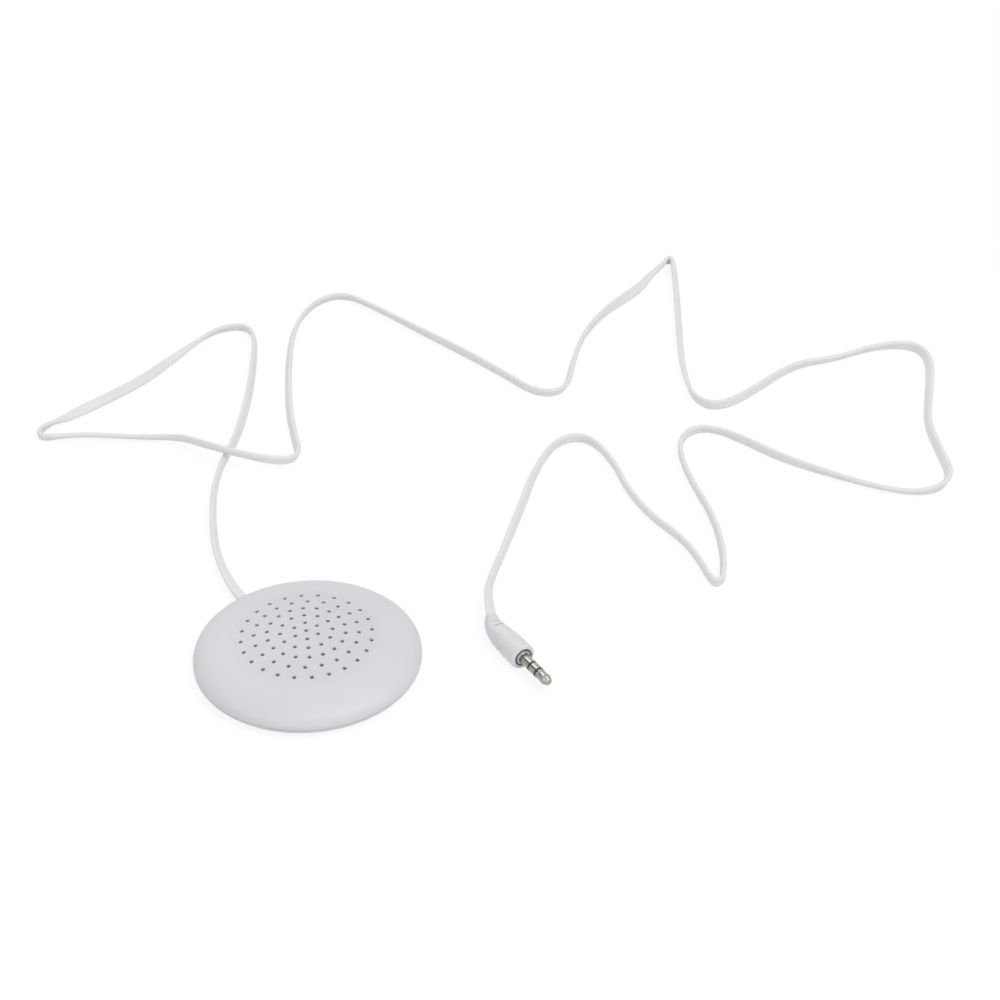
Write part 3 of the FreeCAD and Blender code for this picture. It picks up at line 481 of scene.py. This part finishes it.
def flex_finish():
    material, tree = new_finish("white_sheath")
    along, around = read(tree, "along"), read(tree, "around")
    drawn = Signal.node(tree, "ShaderNodeCombineXYZ", {"X": along * MARKS_ALONG, "Y": around * MARKS_AROUND})
    lines = noise(tree, drawn, 1.0, 2.0)
    cloud = noise(tree, position(tree), 90.0)
    colour = blend(tree, cloud, srgb(228, 228, 230), srgb(233, 233, 234))
    roughness = lines * 0.14 + 0.34
    finish(tree, colour, roughness, bump(tree, lines, 0.004 * MM))
    return material


# %% [markdown]
# The sweep runs once along the route, and its result takes the place of the imported model's
# plain tube.

# %% Build the flex
flex = run_group(
    route_object, flex_tree(),
    {"Half Width": HALF_WIDTH, "Half Thickness": HALF_THICKNESS, "Web": WEB_SHARE,
     "Route Height": LIES * MM, "Settles Over": SETTLES_OVER, "Material": flex_finish()},
    "flex")
bpy.data.objects.remove(route_object)
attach(flex, "root")
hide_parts("cord")

# %% [markdown]
# The rest of the finishes differ only in colour, gloss and grain, so a table of them and one
# function make them all. The grain is one of three: cloudy noise for moulded and plated
# pieces, turned lines round the vertical axis for lathe work, and a weave for cloth.

# %% Plain finishes
PLAIN = {
    "screw_steel": (srgb(198, 198, 194), 0.30, 1.0, "noise", 900.0, 0.01),
    "cloth": (srgb(70, 73, 78), 0.90, 0.0, "weave", 2600.0, 0.08),
    "felt": (srgb(52, 52, 54), 0.95, 0.0, "noise", 2400.0, 0.10),
    "foam": (srgb(44, 44, 46), 0.90, 0.0, "noise", 1800.0, 0.12),
    "frame_steel": (srgb(190, 190, 192), 0.34, 1.0, "noise", 500.0, 0.01),
    "film": (srgb(214, 211, 200), 0.22, 0.0, "noise", 300.0, 0.01),
    "former": (srgb(176, 122, 52), 0.30, 0.0, "noise", 600.0, 0.01),
    "copper": (srgb(190, 108, 62), 0.28, 1.0, "turned", 9000.0, 0.05),
    "pole_steel": (srgb(182, 182, 186), 0.30, 1.0, "noise", 700.0, 0.01),
    "magnet": (srgb(196, 194, 190), 0.18, 1.0, "noise", 400.0, 0.005),
    "board": (srgb(150, 104, 60), 0.55, 0.0, "noise", 1200.0, 0.02),
    "solder": (srgb(202, 202, 200), 0.24, 1.0, "noise", 1500.0, 0.03),
    "clamp": (srgb(221, 221, 222), 0.45, 0.0, "noise", 3000.0, 0.01),
    "core_red": (srgb(188, 40, 36), 0.40, 0.0, "noise", 800.0, 0.01),
    "core_white": (srgb(224, 224, 220), 0.40, 0.0, "noise", 800.0, 0.01),
    # inner_mould: a grey moulding, painted darker than it is as shade in the plug's front recess.
    "inner_mould": (srgb(128, 128, 130), 0.50, 0.0, "noise", 900.0, 0.01),
}


GRAINS_PER_CLOUD = 8         # a cloud in the colour is this much larger than the grain
DARKEST_SHARE = 0.86         # of the colour, where a cloud is darkest
ROUGHNESS_SPREAD = 0.12      # between the glossiest and the dullest place


def grain_of(tree, kind, scale):
    """The height of a grain from 0 to 1."""
    at = position(tree)
    if kind == "noise":
        return noise(tree, at, scale)
    axes = Signal.node(tree, "ShaderNodeSeparateXYZ", {"Vector": at})
    if kind == "turned":
        return (axes.out("Z") * scale).maths("SINE") * 0.5 + 0.5
    warp = (axes * scale).maths("SINE")
    weft = (axes.out("Y") * scale).maths("SINE")
    return warp * weft * 0.5 + 0.5


def plain_finish(name, colour, roughness, metallic, kind, scale, depth_mm):
    material, tree = new_finish(name)
    grain = grain_of(tree, kind, scale)
    cloud = noise(tree, position(tree), scale / GRAINS_PER_CLOUD)
    dark = tuple(value * DARKEST_SHARE for value in colour[:3]) + (1.0,)
    shade = blend(tree, cloud, dark, colour)
    varied = cloud * ROUGHNESS_SPREAD + (roughness - ROUGHNESS_SPREAD / 2)
    finish(tree, shade, varied, bump(tree, grain, depth_mm * MM), Metallic=metallic)
    return material


# %% [markdown]
# The plug is a soft moulding with a bright nickel-plated contact in it. Plating over a turned
# part shows fine rings round its own axis, so the grain is drawn in the plug's coordinates,
# which a Mapping node turns to the direction that the plug points in.

# %% Plug finishes
RINGS_PER_METRE = 7000.0
PLUG_FACE = Vector((65.95, -3.3, 4.15)) * MM
PLUG_AZIMUTH = math.radians(-57.9)


def plug_axes(tree):
    """Coordinates along the plug, x from its face towards its tip, in metres."""
    sockets = {"Vector": position(tree), "Location": PLUG_FACE, "Rotation": (0.0, 0.0, PLUG_AZIMUTH)}
    local = Signal.node(tree, "ShaderNodeMapping", sockets, vector_type="TEXTURE")
    return Signal.node(tree, "ShaderNodeSeparateXYZ", {"Vector": local})


def nickel_finish():
    material, tree = new_finish("nickel_plate")
    along = plug_axes(tree)
    rings = Signal.node(tree, "ShaderNodeCombineXYZ", {"X": along * RINGS_PER_METRE})
    turned = noise(tree, rings, 1.0, 2.0)
    cloud = noise(tree, position(tree), 500.0)
    colour = blend(tree, cloud, srgb(160, 157, 151), srgb(174, 171, 165))
    roughness = turned * 0.10 + 0.16
    finish(tree, colour, roughness, bump(tree, turned, 0.004 * MM), Metallic=1.0)
    return material


def overmould_finish():
    material, tree = new_finish("soft_white_moulding")
    at = position(tree)
    colour = blend(tree, noise(tree, at, 220.0), srgb(216, 217, 219), srgb(222, 223, 225))
    grain = noise(tree, at, 2600.0, 2.0)
    roughness = noise(tree, at, 500.0) * 0.10 + 0.36
    finish(tree, colour, roughness, bump(tree, grain, 0.01 * MM))
    return material


def black_finish():
    material, tree = new_finish("black_moulding")
    cloud = noise(tree, position(tree), 900.0)
    colour = blend(tree, cloud, srgb(24, 24, 26), srgb(38, 38, 40))
    finish(tree, colour, cloud * 0.10 + 0.30, bump(tree, cloud, 0.004 * MM))
    return material


# %% [markdown]
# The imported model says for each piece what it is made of, so the finishes are given out by
# that name. A piece whose material has no finish stops the script and isn't left grey.

# %% Paint the carried-over pieces
finishes = {name: plain_finish(name, *values) for name, values in PLAIN.items()}
finishes["housing"] = housing_finish()
finishes["overmould"] = overmould_finish()
finishes["plug_metal"] = nickel_finish()
finishes["plug_black"] = black_finish()
finishes["flex"] = flex.data.materials[0]

slot_of = {row["node"]: row["material_slot"] for row in frame["record"]["subparts"]}
for name, node in nodes.items():
    node.data.materials.clear()
    node.data.materials.append(finishes[slot_of[name]])
print("painted", len(nodes), "pieces with", len(finishes), "finishes")

# %% [markdown]
# The table is white and has no edge in sight. For the camera it glows nearly as white as the
# background, and the little that is left of its own shading keeps a soft shadow under the
# speaker. The same white shows in the metal, through Light Path, so it is no extra light.

# %% Table and background
TABLE_SIDE = 12.0
TABLE_DROP = 0.05 * MM
SHADOW_SHARE = 0.2
TABLE_GREY = 0.86
TABLE_GLOW = 1.06
WHITE = (1.0, 1.0, 1.0, 1.0)


def in_view(tree):
    """1 for what the camera sees, also in gloss or through something clear, and else 0."""
    path = Signal.node(tree, "ShaderNodeLightPath", output="Is Camera Ray")
    or_gloss = path.maths("MAXIMUM", path.out("Is Glossy Ray"))
    return or_gloss.maths("MAXIMUM", path.out("Is Transmission Ray"))


def stage_finish():
    material = bpy.data.materials.new("white_table")
    material.use_nodes = True
    tree = material.node_tree
    tree.nodes.clear()
    grey = (TABLE_GREY, TABLE_GREY, TABLE_GREY, 1.0)
    lit = Signal.node(tree, "ShaderNodeBsdfDiffuse", {"Color": grey})
    glow = Signal.node(tree, "ShaderNodeEmission", {"Color": WHITE, "Strength": TABLE_GLOW})
    share = in_view(tree) * (1 - SHADOW_SHARE)
    mixed = Signal.node(tree, "ShaderNodeMixShader", {0: share, 1: lit, 2: glow})
    out = tree.nodes.new("ShaderNodeOutputMaterial")
    tree.links.new(out.inputs["Surface"], mixed.socket)
    return material


bpy.ops.mesh.primitive_plane_add(size=TABLE_SIDE, location=(0.0, 0.0, -TABLE_DROP))
table = bpy.context.object
table.name = "table"
table.data.materials.append(stage_finish())
print("table of", TABLE_SIDE, "m")

# %% [markdown]
# The light of the picture is very even: a bright surround, one large soft lamp from the
# upper right, and weaker ones behind and in front. The surround is white to the camera and
# dimmer as a light, so that the lamps can still model the dome. Bright metal in a white room
# has nothing to mirror and looks flat, so a dark card stands off to the left and behind. Only
# what shines shows it, which gives the plug its dark streaks.

# %% Light
SURROUND = 0.5
CARD_PLACE = (-1.0, 0.5, 0.85)
CARD_AIM = (0.067, -0.008, 0.004)
CARD_SIDE = 0.55
CARD_GREY = 0.01
LAMPS_AIM = (0.05, 0.08, 0.0)


def surround():
    world = bpy.data.worlds.new("surround")
    world.use_nodes = True
    tree = world.node_tree
    tree.nodes.clear()
    light = Signal.node(tree, "ShaderNodeBackground", {"Color": WHITE, "Strength": SURROUND})
    white = Signal.node(tree, "ShaderNodeBackground", {"Color": WHITE, "Strength": 1.0})
    mixed = Signal.node(tree, "ShaderNodeMixShader", {0: in_view(tree), 1: light, 2: white})
    out = tree.nodes.new("ShaderNodeOutputWorld")
    tree.links.new(out.inputs["Surface"], mixed.socket)
    bpy.context.scene.world = world


def lamp(name, place, target, side, power):
    """A square soft lamp that points at a place."""
    data = bpy.data.lights.new(name, "AREA")
    data.size = side
    data.energy = power
    light = bpy.data.objects.new(name, data)
    bpy.context.scene.collection.objects.link(light)
    aim = Vector(target) - Vector(place)
    towards = aim.to_track_quat("-Z", "Y").to_matrix().to_4x4()
    light.matrix_world = Matrix.Translation(place) @ towards


def dark_card(name, place, target, side):
    """A dark board that takes no light away and shows only in what shines."""
    aim = Vector(target) - Vector(place)
    bpy.ops.mesh.primitive_plane_add(size=side, location=place)
    card = bpy.context.object
    card.name = name
    card.rotation_euler = aim.to_track_quat("-Z", "Y").to_euler()
    material = bpy.data.materials.new(name)
    material.use_nodes = True
    tree = material.node_tree
    tree.nodes.clear()
    grey = (CARD_GREY, CARD_GREY, CARD_GREY, 1.0)
    black = Signal.node(tree, "ShaderNodeEmission", {"Color": grey, "Strength": 1.0})
    out = tree.nodes.new("ShaderNodeOutputMaterial")
    tree.links.new(out.inputs["Surface"], black.socket)
    card.data.materials.append(material)
    card.visible_camera = False
    card.visible_diffuse = False
    card.visible_shadow = False
    card.visible_transmission = False


surround()
dark_card("dark_card", CARD_PLACE, CARD_AIM, CARD_SIDE)
lamp("key", (0.7, -0.4, 1.3), LAMPS_AIM, 1.0, 9.6)
lamp("back", (-0.6, 1.1, 1.0), LAMPS_AIM, 0.9, 4.0)
lamp("front", (-0.5, -1.1, 0.6), LAMPS_AIM, 1.0, 3.0)
print(len(bpy.data.lights), "lamps and a dark card")
